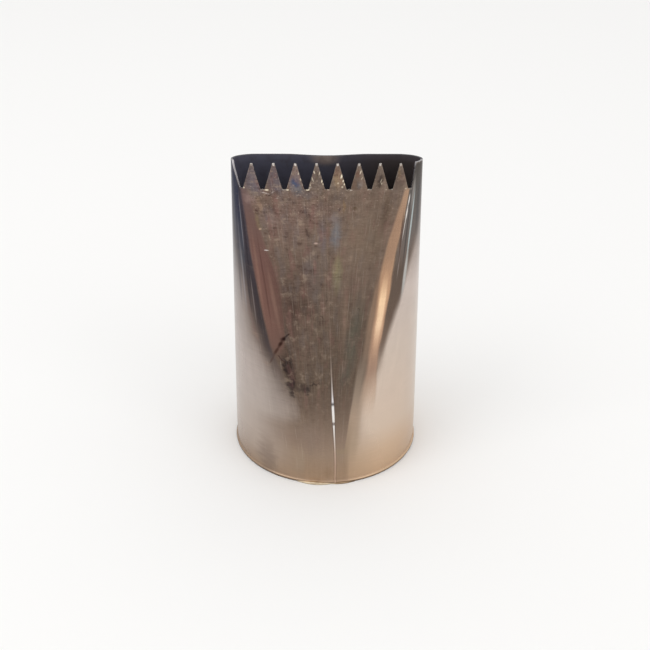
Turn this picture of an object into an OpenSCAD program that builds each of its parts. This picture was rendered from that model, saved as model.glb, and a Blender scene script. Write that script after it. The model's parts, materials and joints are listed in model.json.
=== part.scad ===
// Flat ribbon and basket-weave piping nozzle. One sheet-metal blank is rolled
// into a tube, joined by a weld down the front, left round at the base and
// pressed flat at the mouth. The front lip is cut into teeth and the back lip is
// plain. Millimetres, +Z up. The toothed side faces -Y, and the origin is the
// centre of the base rim, on the surface that the nozzle stands on.

/* [Sheet] */
// Thickness of the sheet metal
wall = 0.5; // [0.4:0.05:0.7]

/* [Base] */
// Outside diameter of the round collar
base_d = 45; // [43.5:0.5:54]
// Height of the round collar above the rim
collar_h = 5; // [3.5:0.5:9]
// Radius of the rolled bead round the rim
bead_r = 0.45; // [0.4:0.05:0.7]
// How far the bead stands out from the collar
bead_out = 0.35; // [0.2:0.05:0.4]

/* [Mouth] */
// Height of the mouth above the rim
height = 73.5; // [56:0.5:96]
// Width of the mouth, corner to corner
mouth_w = 43; // [36:0.2:44.4]
// Depth of the mouth, front face to back face, where both are straight
mouth_t = 6.4; // [5.6:0.2:12]
// Length of the curved fold at each corner of the mouth
fold_l = 5.6; // [4:0.2:8]
// How far the back lip bows in at its middle
back_bow = 1; // [0:0.1:1.4]
// Length of the bowed part of the back lip
bow_l = 20; // [12:1:24]

/* [Flat faces] */
// Width at the collar of each flat face, which widens towards the mouth
flat_foot_w = 11; // [8:0.5:16]

/* [Teeth] */
// Number of notches in the front lip
notch_count = 9; // [5:2:11]
// Depth of each notch below the mouth
notch_depth = 5.4; // [3:0.1:8]
// Width of the floor of each notch
notch_floor = 0.9; // [0.9:0.05:1.4]
// Width of the flat tip of each tooth
tooth_tip = 0.5; // [0.3:0.05:0.9]
// Length of plain lip between the outer notches and the corners
corner_plain = 1.6; // [0.6:0.1:3]

/* [Seam weld] */
// Width of the weld along the seam
seam_w = 0.7; // [0.5:0.05:0.8]
// Height of the weld's crown above the sheet
seam_crown = 0.1; // [0.06:0.02:0.2]
// Sideways place of the seam's foot, which leans off the middle of the front
seam_foot_x = 2.1; // [0:0.1:3]
// How soon the seam runs back to the middle: 1 is evenly, and more is sooner
seam_lean = 1.9; // [1:0.1:2.4]

/* [Rim weld] */
// Length along the rim of the weld's run-out
run_l = 12; // [6:0.5:16]
// Height of the run-out above the floor
run_h = 0.7; // [0.5:0.05:0.8]
// How far the run-out stands out from the bead
run_out = 0.45; // [0.3:0.05:0.7]
// Sideways place of the run-out's middle, measured from the seam's foot
run_shift = -1.6; // [-4:0.1:4]

/* [Hidden] */

collar_r = base_d / 2;
bead_x = collar_r + bead_out - bead_r; // middle of the bead's round section
bead_z = bead_r * 0.8;                 // the bead is dressed flat underneath
rim_r = collar_r + bead_out;
flat_l = mouth_w / 2 - fold_l;         // half length of the straight lips
lip_y = mouth_t / 2;
notch_low = height - notch_depth;

skin = 0.04;      // the pressed sheet's foot lies this far inside the collar's faces
foot_sink = 0.3;  // and reaches this far down between them
foot_soft = 0.07; // softness of the bend where the flat faces leave the collar
below_notch = 1;  // height of plain sheet between the notches and the first row
slack = 0.01;     // two places closer than this share one column
cut_over = 1;     // how far a cut runs past what it cuts

fold_steps = 24;  // pieces in which a fold's length is measured
flank_steps = 5;  // facets along a notch's side where the sheet curves
corner_steps = 4; // facets along the plain lip at each corner
back_steps = 20;  // facets along the straight part of the back
round_steps = 16; // facets round each fold of the back
press_rows = 8;   // rows of facets between the collar and the notches
row_crowd = 1.5;  // how closely those rows crowd towards the collar
weld_steps = 4;   // facets across the weld's crown
run_round = 0.25; // radius of the run-out's upper edge
$fn = 180;

steel = [0.62, 0.57, 0.52];
bright = [0.8, 0.77, 0.73];

function blend(a, b, k) = a + (b - a) * k;
function clamp(v, lo, hi) = max(lo, min(hi, v));

// Outline of the mouth. A place on it is its length u from the middle of the
// lip, towards +X, and side is -1 on the front and 1 on the back.

// Point of a fold at eccentric angle e: 0 beside the flat, 90 at the corner.
function fold_point(e) = [flat_l + fold_l * sin(e), lip_y * cos(e)];

function fold_piece(i) = norm(fold_point(90 * i / fold_steps) - fold_point(90 * (i - 1) / fold_steps));

function fold_length(i) = i == 0 ? 0 : fold_length(i - 1) + fold_piece(i);

fold_table = [for (i = [0:fold_steps]) [fold_length(i), 90 * i / fold_steps]];
fold_arc = fold_length(fold_steps);
lip_arc = flat_l + fold_arc;           // from the middle of a lip to its corner

function fold_angle(u) = lookup(abs(u) - flat_l, fold_table);

// Angle by which the sheet has turned at u: 0 on the flat, 90 at the corner.
function lip_turn(u) = abs(u) <= flat_l ? 0
    : atan2(sin(fold_angle(u)) / fold_l, cos(fold_angle(u)) / lip_y);

// How far the back lip bows inwards at x.
function bow(x, side) = side < 0 || abs(x) >= bow_l / 2 ? 0
    : back_bow * (1 + cos(360 * x / bow_l)) / 2;

function mouth_point(u, side) = let(
        p = abs(u) <= flat_l ? [abs(u), lip_y] : fold_point(fold_angle(u))
    ) [sign(u) * p[0], side * (p[1] - bow(p[0], side))];

function mouth_out(u, side) = [sign(u) * sin(lip_turn(u)), side * cos(lip_turn(u))];

// Angle on the collar, from the middle of its side, where the ruling to u starts.

flat_turn = asin(flat_foot_w / base_d);

function foot_turn(u) = abs(u) <= flat_l ? flat_turn * u / flat_l
    : sign(u) * blend(flat_turn, 90, lip_turn(u) / 90);

// Share of the pressing at height z: 0 on the round collar, 1 at the mouth.
function pressed(z) = let(
        h = max(0, (z - collar_h) / (height - collar_h))
    ) (norm([h, foot_soft]) - foot_soft) / (norm([1, foot_soft]) - foot_soft);

// Point of the sheet on the ruling to u, at height z. Depth is 0 on the outer
// face and 1 on the inner face.
function sheet_point(u, side, z, depth) = let(
        r = blend(collar_r - skin, collar_r - wall + skin, depth),
        a = foot_turn(u),
        foot = [r * sin(a), side * r * cos(a)],
        p = blend(foot, mouth_point(u, side) - wall * depth * mouth_out(u, side), pressed(z))
    ) [p[0], p[1], z];

// Teeth. The notches are struck evenly along the lip, one of them in its middle.

pitch = 2 * (lip_arc - corner_plain) / notch_count;
half_count = (notch_count - 1) / 2;
floor_half = notch_floor / 2;
notch_half = (pitch - tooth_tip) / 2;
notch_end = half_count * pitch + notch_half;

// Height of the front lip at u.
function lip_z(u) = let(off = abs(u - pitch * round(u / pitch))) abs(u) > notch_end ? height
    : height - notch_depth * clamp((notch_half - off) / (notch_half - floor_half), 0, 1);

// Width of the flat face at height z, as a share of its width at the mouth.
function flat_share(z) = blend(flat_foot_w / 2 / flat_l, 1, pressed(z));

// The seam leans off the middle towards the base. This is its place at height z,
// given by the ruling that it crosses there.

seam_turn = asin(seam_foot_x / collar_r);
seam_foot_u = flat_l * seam_turn / flat_turn;

function seam_u(z) = seam_foot_u * flat_share(0) / flat_share(z) * pow(1 - pressed(z), seam_lean);

// Columns of the sheet. On the back each one is a ruling. On the front they slide
// outwards below the mouth, where the rulings draw together and the notches stay
// upright, and aside to leave the seam's gap.

cut_z = notch_low - below_notch;
spread = 1 / flat_share(cut_z) - 1;

function upright_slide(u, z) = let(
        far = abs(u) <= flat_l ? abs(u) : flat_l * (lip_arc - abs(u)) / fold_arc
    ) spread * far * clamp((height - z) / (height - cut_z), 0, 1);

function seam_slide(u, z) = let(
        room = sign(u) * seam_u(z) + seam_w / 2 / flat_share(z) - seam_w / 2
    ) room * clamp((flat_l - abs(u)) / (flat_l - seam_w / 2), 0, 1);

function column_u(u, side, z) = side > 0 ? u : u + sign(u) * (upright_slide(u, z) + seam_slide(u, z));

// Places where the outline of the notch at c changes, with more where it curves.
function notch_places(c) = let(
        steps = c + pitch > flat_l ? flank_steps : 1,
        rise = notch_half - floor_half
    ) [
        for (i = [0:steps]) c - notch_half + rise * i / steps,
        for (i = [0:steps]) c + floor_half + rise * i / steps
    ];

front_right = [
    for (k = [0:half_count], u = notch_places(k * pitch)) if (u > seam_w / 2 + slack) u,
    for (i = [1:corner_steps - 1]) blend(notch_end, lip_arc, i / corner_steps)
];
back_right = [
    for (i = [0:round_steps]) lip_arc - fold_arc * i / round_steps,
    for (i = [1:back_steps / 2]) flat_l * (1 - 2 * i / back_steps)
];

function mirrored(list, from) = [for (i = [from:-1:0]) -list[i]];

// Every column of the sheet, from one side of the seam round to the other.
columns = [
    for (u = front_right) [u, -1],
    for (u = back_right) [u, 1],
    for (u = mirrored(back_right, len(back_right) - 2)) [u, 1],
    for (u = mirrored(front_right, len(front_right) - 1)) [u, -1]
];

// Rows. The last one follows the lip, and the others are shared by all columns.
shared_z = [
    collar_h - foot_sink,
    for (i = [0:press_rows]) blend(collar_h, cut_z, pow(i / press_rows, row_crowd))
];
rows = len(shared_z) + 1;

function row_z(i, top) = i < rows - 1 ? shared_z[i] : top;

// Point across the seam: k is -1 at one edge of the gap and 1 at the other, and
// rise is measured outwards from the sheet's face.
function seam_point(k, z, depth, rise) = let(
        p = sheet_point(seam_u(z), -1, z, depth),
        turn = foot_turn(seam_u(z)) * (1 - pressed(z)),
        x = k * seam_w / 2
    ) [p[0] + x * cos(turn) + rise * sin(turn), p[1] + x * sin(turn) - rise * cos(turn), z];

// Faces of a closed strip of sheet. Its points run column by column, n columns of
// m points each on the outer face, and then the same on the inner face.
function strip_faces(n, m) = let(inner = n * m, t = m - 1) [
    for (j = [0:n - 2], i = [0:m - 2]) for (f = let(a = j * m + i, b = a + m) [
        [a, a + 1, b + 1],
        [a, b + 1, b],
        [inner + a, inner + b + 1, inner + a + 1],
        [inner + a, inner + b, inner + b + 1]
    ]) f,
    for (j = [0:n - 2]) for (f = let(a = j * m, b = a + m) [
        [a, b, inner + b],
        [a, inner + b, inner + a],
        [b + t, a + t, inner + a + t],
        [b + t, inner + a + t, inner + b + t]
    ]) f,
    for (i = [0:m - 2]) for (f = let(e = (n - 1) * m + i) [
        [i + 1, i, inner + i],
        [i + 1, inner + i, inner + i + 1],
        [e, e + 1, inner + e + 1],
        [e, inner + e + 1, inner + e]
    ]) f
];

function gap_edge(k, depth) = [
    for (i = [0:rows - 1]) seam_point(k, row_z(i, notch_low), depth, 0)
];

function column_points(c, depth) = let(top = c[1] < 0 ? lip_z(c[0]) : height) [
    for (i = [0:rows - 1], z = [row_z(i, top)]) sheet_point(column_u(c[0], c[1], z), c[1], z, depth)
];

function sheet_face(depth) = [
    each gap_edge(1, depth),
    for (c = columns) each column_points(c, depth),
    each gap_edge(-1, depth)
];

// The sheet above the collar.
module pressed_sheet() {
    polyhedron(
        points = concat(sheet_face(0), sheet_face(1)),
        faces = strip_faces(len(columns) + 2, rows),
        convexity = 8
    );
}

// Section of the rolled bead, cut flat where it stands on the floor.
module bead_section() {
    intersection() {
        translate([bead_x, bead_z]) circle(bead_r);
        translate([collar_r - wall, 0]) square([wall + bead_out, 2 * bead_r]);
    }
}

// The collar as a whole ring, before the gap for the weld.
module collar_ring() {
    rotate_extrude() union() {
        translate([collar_r - wall, 0]) square([wall, collar_h]);
        bead_section();
    }
}

// Block as wide as the seam's gap, through the collar and its bead.
module seam_block() {
    depth = wall + bead_out + 2 * cut_over;
    rotate([0, 0, seam_turn])
        translate([-seam_w / 2, -rim_r - cut_over, -cut_over])
            cube([seam_w, depth, collar_h + 2 * cut_over]);
}

module nozzle_shell() {
    color(steel) union() {
        difference() {
            collar_ring();
            seam_block();
        }
        pressed_sheet();
    }
}

// The weld's bead between the collar's foot and the middle notch.
module weld_strip() {
    across = [for (i = [0:weld_steps]) 2 * i / weld_steps - 1];
    heights = [0, for (i = [1:rows - 1]) row_z(i, notch_low)];
    function face(depth, crown) = [
        for (k = across, z = heights) seam_point(k, z, depth, crown * (1 - k * k))
    ];
    polyhedron(
        points = concat(face(0, seam_crown), face(1, 0)),
        faces = strip_faces(len(across), len(heights)),
        convexity = 4
    );
}

module seam_weld() {
    color(bright) union() {
        weld_strip();
        intersection() {
            collar_ring();
            seam_block();
        }
    }
}

// The run-out is a crescent: a disc that crosses the rim at both ends of run_l
// and stands out by run_out in the middle.
module rim_weld() {
    chord = run_l / 2;
    sagitta = run_out + rim_r - sqrt(rim_r * rim_r - chord * chord);
    disc_r = (chord * chord + sagitta * sagitta) / (2 * sagitta);
    color(bright) difference() {
        rotate([0, 0, asin((seam_foot_x + run_shift) / collar_r)])
            translate([0, disc_r - rim_r - run_out, 0])
                rotate_extrude() union() {
                    square([disc_r - run_round, run_h]);
                    square([disc_r, run_h - run_round]);
                    translate([disc_r - run_round, run_h - run_round]) circle(run_round);
                }
        rotate_extrude() union() {
            translate([0, -cut_over]) square([collar_r, collar_h + cut_over]);
            translate([0, -cut_over]) square([bead_x, bead_z + cut_over]);
            translate([bead_x, bead_z]) circle(bead_r);
        }
        weld_strip();
    }
}

nozzle_shell();
seam_weld();
rim_weld();
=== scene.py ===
import json
from bisect import bisect_right
from math import asin, atan2, cos, hypot, pi, radians, sin

import bpy
from mathutils import Matrix, Vector, noise


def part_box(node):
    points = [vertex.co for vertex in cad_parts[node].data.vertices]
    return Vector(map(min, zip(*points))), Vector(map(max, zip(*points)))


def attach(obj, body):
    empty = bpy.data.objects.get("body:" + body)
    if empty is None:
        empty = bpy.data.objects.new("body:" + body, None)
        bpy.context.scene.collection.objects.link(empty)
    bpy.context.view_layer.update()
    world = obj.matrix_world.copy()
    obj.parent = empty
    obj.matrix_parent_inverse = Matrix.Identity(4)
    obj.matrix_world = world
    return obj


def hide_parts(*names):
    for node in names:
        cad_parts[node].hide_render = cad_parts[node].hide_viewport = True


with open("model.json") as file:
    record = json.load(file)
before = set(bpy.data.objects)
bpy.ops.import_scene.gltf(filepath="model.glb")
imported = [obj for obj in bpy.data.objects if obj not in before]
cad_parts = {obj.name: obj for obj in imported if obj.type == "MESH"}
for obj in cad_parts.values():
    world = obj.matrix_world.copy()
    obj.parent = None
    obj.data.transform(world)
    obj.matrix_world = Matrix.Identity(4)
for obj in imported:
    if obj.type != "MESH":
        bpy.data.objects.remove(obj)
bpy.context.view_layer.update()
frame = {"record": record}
print("frame loaded")

mm = 0.001
smoothAngle = radians(40)
mounts = {mount["name"]: mount["dims"] for mount in frame["record"]["mounts"]}


def setMode(mode):
    bpy.ops.object.mode_set(mode=mode)


def deselectAll():
    if bpy.context.object and bpy.context.object.mode != 'OBJECT':
        setMode('OBJECT')
    bpy.ops.object.select_all(action='DESELECT')


def selectOnly(piece):
    deselectAll()
    bpy.context.view_layer.objects.active = piece
    piece.select_set(True)


def applyModifiers(piece):
    selectOnly(piece)
    for modifier in list(piece.modifiers):
        bpy.ops.object.modifier_apply(modifier=modifier.name)


def smoothByAngle(piece):
    selectOnly(piece)
    bpy.ops.object.shade_smooth_by_angle(angle=smoothAngle)


# cut each edge that runs along the axis for more than the given length
def cutLongEdges(piece, axis, length, cuts):
    bpy.context.tool_settings.mesh_select_mode = (False, True, False)
    setMode('EDIT')
    bpy.ops.mesh.select_all(action='DESELECT')
    setMode('OBJECT')
    for edge in piece.data.edges:
        a, b = (piece.data.vertices[i].co[axis] for i in edge.vertices)
        edge.select = abs(a - b) > length
    setMode('EDIT')
    bpy.ops.mesh.subdivide(number_cuts=cuts)
    setMode('OBJECT')


def finishPiece(piece, name, node):
    piece.name = name
    piece.data.name = name
    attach(piece, "root")
    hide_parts(node)
    print("made", name, len(piece.data.polygons), "faces")


def blend(a, b, k):
    return a + (b - a) * k


def clamp(value, low=0.0, high=1.0):
    return max(low, min(high, value))


# the sheet's shape, worked out as it is in the part
nozzle = {
    'collarRadius': mounts["collar_seat"]["r_mm"] * mm,
    'wall': (mounts["collar_seat"]["r_mm"] - mounts["base_bore"]["r_mm"]) * mm,
    'collarHeight': mounts["base_bore"]["length_mm"] * mm,
    'height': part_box("nozzle_shell")[1].z,
    'mouthWidth': 43 * mm,
    'mouthDepth': 6.4 * mm,
    'foldLength': 5.6 * mm,      # curved end of the mouth
    'backBow': 1 * mm,           # the back lip leans in at its middle
    'bowLength': 20 * mm,
    'flatFootWidth': 11 * mm,    # each flat face at the collar
    'footSoftness': 0.07,
    'beadRadius': 0.45 * mm,
    'beadOut': 0.35 * mm,
    'notches': 9,
    'notchDepth': 5.4 * mm,
    'notchFloor': 0.9 * mm,
    'toothTip': 0.5 * mm,
    'cornerPlain': 1.6 * mm,
    'wideLeft': 0.5 * mm,        # the outer flanks lean further out, as the corners show
    'wideRight': 0.7 * mm,
    'seamWidth': 0.7 * mm,
    'seamFoot': 2.1 * mm,        # the seam leans off the middle by this at the rim
    'seamLean': 1.9,
}
notchDrift = [-0.28, -0.09, 0.02, 0.12, 0, 0.02, 0, -0.07, -0.37]    # mm off its even place, left to right

dents = {
    'length': 11 * mm,
    'depth': 0.09 * mm,
    'sideShift': 40 * mm,        # the faces differ
    'fineness': 3,
    'fineShare': 0.35,
    'fineSquash': 1.6,
    'fineSideShift': 90 * mm,
}

mesh = {
    'flankSteps': 8,
    'tipSteps': 2,
    'floorSteps': 4,
    'cornerSteps': 8,
    'foldSteps': 30,
    'backSteps': 90,
    'beadSteps': 10,
    'beadTurns': (-53, 68),      # part of the bead's round that shows, in degrees
    'overBead': ((0.86, 0.05), (0.95, 0.015), (1.1, 0)),         # mm up and out of the collar
    'collarRows': (1.6, 2.3, 3.1, 3.9, 4.5),                     # mm
    'pressRows': 54,
    'pressBunching': 1.35,
    'toothRows': 14,
    'toothBunching': 1.3,
    'belowNotch': 1.2 * mm,      # plain sheet under the notches
    'seamClear': 0.02 * mm,
    'edgeBevel': 0.05 * mm,
    'bevelAngle': radians(50),
    'roughCut': 0.12 * mm,       # the notches are cut by hand and keep a burr
    'roughWaves': 1700,
}

flatLength = nozzle['mouthWidth'] / 2 - nozzle['foldLength']
lipY = nozzle['mouthDepth'] / 2
seamEdge = nozzle['seamWidth'] / 2
arcSteps = 90


def foldPoint(turn):
    return flatLength + nozzle['foldLength'] * sin(turn), lipY * cos(turn)


foldAngles = [pi / 2 * i / arcSteps for i in range(arcSteps + 1)]
foldArcs = [0.0]
for a, b in zip(foldAngles, foldAngles[1:]):
    (ax, ay), (bx, by) = foldPoint(a), foldPoint(b)
    foldArcs.append(foldArcs[-1] + hypot(bx - ax, by - ay))
lipArc = flatLength + foldArcs[-1]          # middle of a lip to its corner
flatTurn = asin(nozzle['flatFootWidth'] / 2 / nozzle['collarRadius'])


def foldAngle(along):
    arc = clamp(abs(along) - flatLength, 0, foldArcs[-1])
    i = min(bisect_right(foldArcs, arc), arcSteps) - 1
    k = (arc - foldArcs[i]) / (foldArcs[i + 1] - foldArcs[i])
    return blend(foldAngles[i], foldAngles[i + 1], k)


def lipTurn(along):
    if abs(along) <= flatLength:
        return 0.0
    e = foldAngle(along)
    return atan2(sin(e) / nozzle['foldLength'], cos(e) / lipY)


def mouthPoint(along, side):
    x, y = (abs(along), lipY) if abs(along) <= flatLength else foldPoint(foldAngle(along))
    if side > 0 and x < nozzle['bowLength'] / 2:
        y -= nozzle['backBow'] * (1 + cos(2 * pi * x / nozzle['bowLength'])) / 2
    return (x if along >= 0 else -x), side * y


def footTurn(along):
    if abs(along) <= flatLength:
        return flatTurn * along / flatLength
    turn = blend(flatTurn, pi / 2, lipTurn(along) / (pi / 2))
    return turn if along >= 0 else -turn


# 0 at the collar and 1 at the mouth
def pressed(z):
    soft = nozzle['footSoftness']
    h = max(0.0, (z - nozzle['collarHeight']) / (nozzle['height'] - nozzle['collarHeight']))
    return (hypot(h, soft) - soft) / (hypot(1, soft) - soft)


# the flat faces are a little uneven, never at the collar or the folds
def dent(along, side, z):
    across = clamp(1 - (along / flatLength) ** 4)
    waves = noise.noise(Vector((along, z, side * dents['sideShift'])) / dents['length'])
    fine = Vector((along, dents['fineSquash'] * z, side * dents['fineSideShift']))
    waves += dents['fineShare'] * noise.noise(fine * dents['fineness'] / dents['length'])
    return waves * dents['depth'] * across * pressed(z)


# depth is 0 on the outer face and 1 on the inner face, out stands off the outer face
def sheetPoint(along, side, z, depth, out=0.0):
    r = nozzle['collarRadius'] - nozzle['wall'] * depth + out
    a = footTurn(along)
    footX, footY = r * sin(a), side * r * cos(a)
    mouthX, mouthY = mouthPoint(along, side)
    turn = lipTurn(along) * (1 if along >= 0 else -1)
    inward = nozzle['wall'] * depth - out
    mouthX -= inward * sin(turn)
    mouthY -= inward * side * cos(turn)
    k = pressed(z)
    return Vector((blend(footX, mouthX, k), blend(footY, mouthY, k) + dent(along, side, z), z))


def flatShare(z):
    return blend(nozzle['flatFootWidth'] / 2 / flatLength, 1, pressed(z))


def seamAlong(z):
    foot = flatLength * asin(nozzle['seamFoot'] / nozzle['collarRadius']) / flatTurn
    return foot * flatShare(0) / flatShare(z) * max(0.0, 1 - pressed(z)) ** nozzle['seamLean']


# the teeth, cut along the front lip
pitch = 2 * (lipArc - nozzle['cornerPlain']) / nozzle['notches']
floorHalf = nozzle['notchFloor'] / 2
notchHalf = (pitch - nozzle['toothTip']) / 2
notchLow = nozzle['height'] - nozzle['notchDepth']

teeth = []                                  # floor and flanks of each notch, left to right
for i, drift in enumerate(notchDrift):
    middle = (i - (nozzle['notches'] - 1) / 2) * pitch + drift * mm
    teeth.append([middle - notchHalf, middle - floorHalf, middle + floorHalf, middle + notchHalf])
for left, right in zip(teeth, teeth[1:]):   # a tip keeps its width where two notches drift apart
    tip = (left[3] + right[0]) / 2
    left[3] = tip - nozzle['toothTip'] / 2
    right[0] = tip + nozzle['toothTip'] / 2
teeth[0][0] -= nozzle['wideLeft']
teeth[-1][3] -= nozzle['wideRight']


def roughCut(along):
    return mesh['roughCut'] * (0.5 + 0.5 * noise.noise(Vector((along * mesh['roughWaves'], 3.1, 7.7))))


def lipHeight(along):
    for outerLeft, floorLeft, floorRight, outerRight in teeth:
        if outerLeft < along < outerRight:
            rise = max(floorLeft - along, along - floorRight, 0.0)
            run = (floorLeft - outerLeft) if along < floorLeft else (outerRight - floorRight)
            return nozzle['height'] - nozzle['notchDepth'] * (1 - clamp(rise / run)) - roughCut(along)
    return nozzle['height'] - roughCut(along) * (abs(along) < teeth[-1][3])


def spaced(a, b, steps):
    return [blend(a, b, i / steps) for i in range(steps)]


def frontColumns():
    places = spaced(-lipArc, teeth[0][0], mesh['cornerSteps'])
    for i, (a, b, c, d) in enumerate(teeth):
        places += spaced(a, b, mesh['flankSteps']) + spaced(b, c, mesh['floorSteps'])
        places += spaced(c, d, mesh['flankSteps'])
        if i + 1 < len(teeth):
            places += spaced(d, teeth[i + 1][0], mesh['tipSteps'])
    places += spaced(teeth[-1][3], lipArc, mesh['cornerSteps'])
    return [u for u in places if abs(u) > seamEdge + mesh['seamClear']]


front = frontColumns()
back = spaced(lipArc, flatLength, mesh['foldSteps']) + spaced(flatLength, -flatLength, mesh['backSteps'])
back += spaced(-flatLength, -lipArc, mesh['foldSteps'])

# every column counter-clockwise from the seam, as (along, side, edge of the seam or 0)
columns = [(seamEdge, -1, 1)] + [(u, -1, 0) for u in front if u > 0] + [(u, 1, 0) for u in back]
columns += [(u, -1, 0) for u in front if u < 0] + [(-seamEdge, -1, -1)]
backMiddle = min(range(len(columns)), key=lambda i: abs(columns[i][0]) if columns[i][1] > 0 else 1)

cutZ = notchLow - mesh['belowNotch']
spread = 1 / flatShare(cutZ) - 1


# a front column slides off its ruling: upright under the notches, and aside for the seam
def columnAlong(along, side, z):
    if side > 0:
        return along
    far = abs(along) if abs(along) <= flatLength else flatLength * (lipArc - abs(along)) / foldArcs[-1]
    upright = spread * far * clamp((nozzle['height'] - z) / (nozzle['height'] - cutZ))
    sign = 1 if along > 0 else -1
    room = sign * seamAlong(z) + seamEdge / flatShare(z) - seamEdge
    return along + sign * (upright + room * clamp((flatLength - abs(along)) / (flatLength - seamEdge)))


def seamPoint(across, z, depth, rise):
    along = seamAlong(z)
    p = sheetPoint(along, -1, z, depth)
    turn = footTurn(along) * (1 - pressed(z))
    x = across * seamEdge
    return Vector((p.x + x * cos(turn) + rise * sin(turn), p.y + x * sin(turn) - rise * cos(turn), z))


# rows up to the collar follow the bead's section, as (z, how far out of the collar)
def rimRows():
    r, out = nozzle['beadRadius'], nozzle['beadOut']
    middle = 0.8 * r             # the bead's underside is flattened
    rows = []
    for i in range(mesh['beadSteps'] + 1):
        a = radians(blend(*mesh['beadTurns'], i / mesh['beadSteps']))
        rows.append((max(0.0, middle + r * sin(a)), max(0.0, out - r + r * cos(a))))
    return rows + [(z * mm, out * mm) for z, out in mesh['overBead']]


rims = rimRows()
lowRows = rims + [(z * mm, 0.0) for z in mesh['collarRows']]
for i in range(mesh['pressRows'] + 1):
    k = (i / mesh['pressRows']) ** mesh['pressBunching']
    lowRows.append((blend(nozzle['collarHeight'], cutZ, k), 0.0))
rowCount = len(lowRows) + mesh['toothRows']


# height of a row, its stand off the collar, and how far it is below the lip
def rowPlace(row, top):
    if row < len(lowRows):
        z, out = lowRows[row]
        return z, out, top - z
    k = (row - len(lowRows) + 1) / mesh['toothRows']
    z = blend(cutZ, top, 1 - (1 - k) ** mesh['toothBunching'])
    return z, 0.0, top - z


# a vertex, with its place along the sheet, its height and how far it is below the lip
def shellPoint(column, row, depth):
    along, side, edge = columns[column]
    top = notchLow if edge else lipHeight(along) if side < 0 else nozzle['height']
    z, out, below = rowPlace(row, top)
    stand = out * (1 - depth)
    if edge:
        return seamPoint(edge, z, depth, stand), seamAlong(z) + edge * seamEdge / flatShare(z), z, below
    u = columnAlong(along, side, z)
    return sheetPoint(u, side, z, depth, stand), u, z, below


uvSpan = 100                     # mm of sheet that the map is long and high


def onMap(along, z):
    return 0.5 + along / (uvSpan * mm), z / (uvSpan * mm)


def openSeam(shell, places):
    for face in shell.data.polygons:
        held = {places[i][0] for i in face.vertices}
        face.select = held == {0, len(columns) - 1}
    bpy.context.tool_settings.mesh_select_mode = (False, False, True)
    setMode('EDIT')
    bpy.ops.mesh.delete(type='ONLY_FACE')
    setMode('OBJECT')


# one map runs round the sheet and up it, and one tells how far the lip is
def mapSheet(shell, places):
    sheetMap = shell.data.uv_layers[0]
    sheetMap.name = 'sheet'
    lipMap = shell.data.uv_layers.new(name='lip')
    for face in shell.data.polygons:
        rightHalf = max(places[i][0] for i in face.vertices) <= backMiddle
        for loop in face.loop_indices:
            column, row = places[shell.data.loops[loop].vertex_index]
            along, side = columns[column][:2]
            u, z, below = shellPoint(column, row, 0)[1:]
            if side > 0:
                u = 2 * lipArc - u if rightHalf else -2 * lipArc - u
            sheetMap.data[loop].uv = onMap(u, z)
            lipMap.data[loop].uv = onMap(along, below)


def makeShell():
    deselectAll()
    count = len(columns)
    bpy.ops.mesh.primitive_cylinder_add(
        vertices=count, radius=nozzle['collarRadius'], depth=nozzle['height'],
        location=(0, 0, nozzle['height'] / 2), end_fill_type='NOTHING')
    shell = bpy.context.object
    bpy.ops.object.transform_apply(location=True, rotation=True, scale=True)
    cutLongEdges(shell, 2, nozzle['height'] / 2, rowCount - 2)

    # which column and row each vertex is in
    first = shell.data.vertices[0].co
    start = atan2(first.y, first.x)
    places = []
    for vertex in shell.data.vertices:
        turn = atan2(vertex.co.y, vertex.co.x) - start
        row = round(vertex.co.z / nozzle['height'] * (rowCount - 1))
        places.append((round(turn / (2 * pi) * count) % count, row))
    openSeam(shell, places)
    for vertex, (column, row) in zip(shell.data.vertices, places):
        vertex.co = shellPoint(column, row, 0)[0]
    mapSheet(shell, places)

    shell.data.materials.clear()
    for material in (sheetSteel(), insideSteel(), cutSteel()):
        shell.data.materials.append(material)
    outerCount = len(shell.data.vertices)
    wall = shell.modifiers.new('wall', 'SOLIDIFY')
    wall.thickness = nozzle['wall']
    wall.offset = -1
    wall.use_even_offset = True
    wall.material_offset = 1
    wall.material_offset_rim = 2
    applyModifiers(shell)
    for i, (column, row) in enumerate(places):
        shell.data.vertices[outerCount + i].co = shellPoint(column, row, 1)[0]

    edges = shell.modifiers.new('edges', 'BEVEL')
    edges.width = mesh['edgeBevel']
    edges.segments = 2
    edges.limit_method = 'ANGLE'
    edges.angle_limit = mesh['bevelAngle']
    applyModifiers(shell)
    smoothByAngle(shell)
    return shell


# node helpers: every mask and colour below is worked out in mm on the unrolled sheet
def isSocket(value):
    return isinstance(value, bpy.types.NodeSocket)


def feed(node, inputs):
    for key, value in inputs.items():
        if isSocket(value):
            node.id_data.links.new(value, node.inputs[key])
        else:
            node.inputs[key].default_value = value


def addNode(tree, kind, **settings):
    made = tree.nodes.new(kind)
    for name, value in settings.items():
        setattr(made, name, value)
    return made


# a node beside the ones that feed it
def put(kind, inputs, **settings):
    tree = next(value for value in inputs.values() if isSocket(value)).id_data
    made = addNode(tree, kind, **settings)
    feed(made, inputs)
    return made


def calc(operation, a, b=0.0, c=0.0):
    return put('ShaderNodeMath', {0: a, 1: b, 2: c}, operation=operation).outputs[0]


def times(value, *others):
    for other in others:
        value = calc('MULTIPLY', value, other)
    return value


def ease(value, low, high, start=0.0, end=1.0):
    places = {0: value, 1: low, 2: high, 3: start, 4: end}
    return put('ShaderNodeMapRange', places, interpolation_type='SMOOTHSTEP').outputs[0]


def vectorMath(operation, inputs):
    return put('ShaderNodeVectorMath', inputs, operation=operation).outputs[0]


def split(vector):
    return put('ShaderNodeSeparateXYZ', {0: vector}).outputs


def mapOf(tree, name):
    return split(addNode(tree, 'ShaderNodeUVMap', uv_map=name).outputs[0])


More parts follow.
